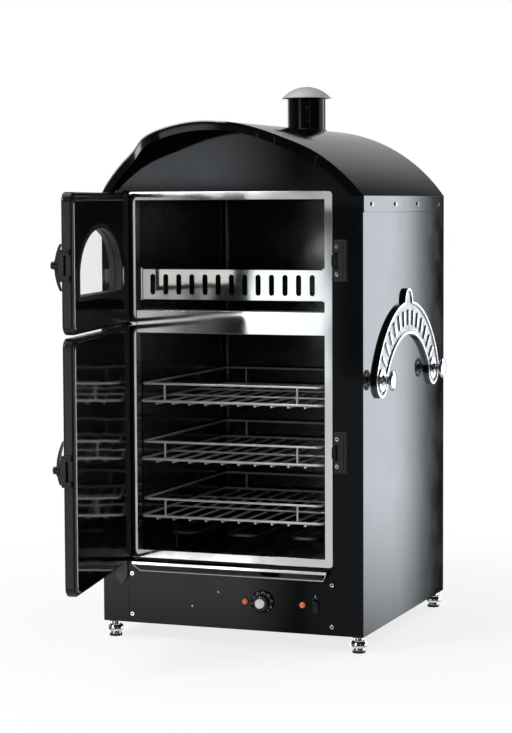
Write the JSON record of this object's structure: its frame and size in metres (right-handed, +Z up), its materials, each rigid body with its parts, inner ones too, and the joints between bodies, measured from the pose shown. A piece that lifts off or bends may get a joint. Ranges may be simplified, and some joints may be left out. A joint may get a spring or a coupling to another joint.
{
  "type": "baked potato oven",
  "caption": "Black counter-top baked potato oven with a barrel roof, flue, display shelf behind a slotted guard, wire racks, two side-hung doors and a row of controls.",
  "frame": {"origin": "on the counter, midway between the four feet", "axes": "+Z up; -Y is the front with the doors and the controls; +X to the right seen from the front"},
  "size_m": [0.572, 0.97, 1.038],
  "materials": {
    "black_enamel": "gloss",
    "mirror_steel": "polished",
    "bright_wire": "polished",
    "polished_casting": "polished",
    "chrome": "polished",
    "black_fitting": "satin",
    "black_plastic": "gloss",
    "amber_lens": "gloss",
    "rubber": "matt",
    "clear_glass": "clear",
    "element_sheath": "satin"
  },
  "bodies": {
    "cabinet": {"base_pan": "black_enamel", "side_panel_left": "black_enamel", "side_panel_right": "black_enamel", "front_frame": "black_enamel", "arch_front": "black_enamel", "arch_back": "black_enamel", "back_panel": "black_enamel", "roof": "black_enamel", "eave_strip_left": "black_enamel", "eave_strip_right": "black_enamel", "fascia": "black_enamel", "flue_tube": "black_enamel", "terminal_box": "black_enamel", "door_trim": "mirror_steel", "display_liner": "mirror_steel", "oven_liner": "mirror_steel", "divider": "mirror_steel", "guard_rail": "mirror_steel", "guard_channels": "mirror_steel", "rack_runner_left": "mirror_steel", "rack_runner_right": "mirror_steel", "drip_sill": "mirror_steel", "element_stools": "mirror_steel", "flue_box": "mirror_steel", "flue_cap": "mirror_steel", "side_arch_left": "polished_casting", "side_arch_right": "polished_casting", "casting_knobs": "chrome", "feet": "chrome", "eave_screws": "chrome", "fascia_screws": "chrome", "keeper_screws": "chrome", "hinge_bottom": "black_fitting", "hinge_middle": "black_fitting", "hinge_top": "black_fitting", "upper_keeper": "black_fitting", "lower_keeper": "black_fitting", "switch_body": "black_plastic", "thermostat": "black_plastic", "cable_gland": "black_plastic", "heat_lamp": "amber_lens", "power_lamp": "amber_lens", "foot_pads": "rubber", "heating_element": "element_sheath"},
    "upper_door": {"upper_door_shell": "black_enamel", "upper_door_panel": "mirror_steel", "door_glass": "clear_glass", "window_gasket": "rubber", "upper_latch_body": "black_fitting"},
    "lower_door": {"lower_door_shell": "black_enamel", "lower_door_panel": "mirror_steel", "lower_latch_body": "black_fitting"},
    "upper_lever": {"upper_latch_lever": "black_fitting"},
    "lower_lever": {"lower_latch_lever": "black_fitting"},
    "lower_rack": {"rack_lower": "bright_wire"},
    "middle_rack": {"rack_middle": "bright_wire"},
    "upper_rack": {"rack_upper": "bright_wire"},
    "thermostat_dial": {"dial": "black_plastic", "dial_cap": "chrome"},
    "power_rocker": {"switch_rocker": "black_plastic"}
  },
  "joints": [
    {"name": "upper_door_hinge", "type": "hinge", "parent": "cabinet", "child": "upper_door", "pos_m": [-0.204, -0.2745, 0.70875], "axis": [0, 0, -1], "range_deg": [-79, 71]},
    {"name": "upper_latch_turn", "type": "hinge", "parent": "upper_door", "child": "upper_lever", "pos_m": [-0.14979, -0.65821, 0.706], "axis": [-0.9816, -0.1908, 0], "range_deg": [0, 90]},
    {"name": "lower_door_hinge", "type": "hinge", "parent": "cabinet", "child": "lower_door", "pos_m": [-0.204, -0.2745, 0.36675], "axis": [0, 0, -1], "range_deg": [-79, 71]},
    {"name": "lower_latch_turn", "type": "hinge", "parent": "lower_door", "child": "lower_lever", "pos_m": [-0.14979, -0.65821, 0.363], "axis": [-0.9816, -0.1908, 0], "range_deg": [0, 90]},
    {"name": "lower_rack_slide", "type": "slide", "parent": "cabinet", "child": "lower_rack", "axis": [0, -1, 0], "range_m": [0, 0.07]},
    {"name": "middle_rack_slide", "type": "slide", "parent": "cabinet", "child": "middle_rack", "axis": [0, -1, 0], "range_m": [0, 0.07]},
    {"name": "upper_rack_slide", "type": "slide", "parent": "cabinet", "child": "upper_rack", "axis": [0, -1, 0], "range_m": [0, 0.07]},
    {"name": "dial_turn", "type": "hinge", "parent": "cabinet", "child": "thermostat_dial", "pos_m": [0.0625, -0.262, 0.084], "axis": [0, 1, 0], "range_deg": [0, 280]},
    {"name": "rocker_tilt", "type": "hinge", "parent": "cabinet", "child": "power_rocker", "pos_m": [0.1646, -0.258, 0.084], "axis": [1, 0, 0], "range_deg": [-16, 0]}
  ]
}
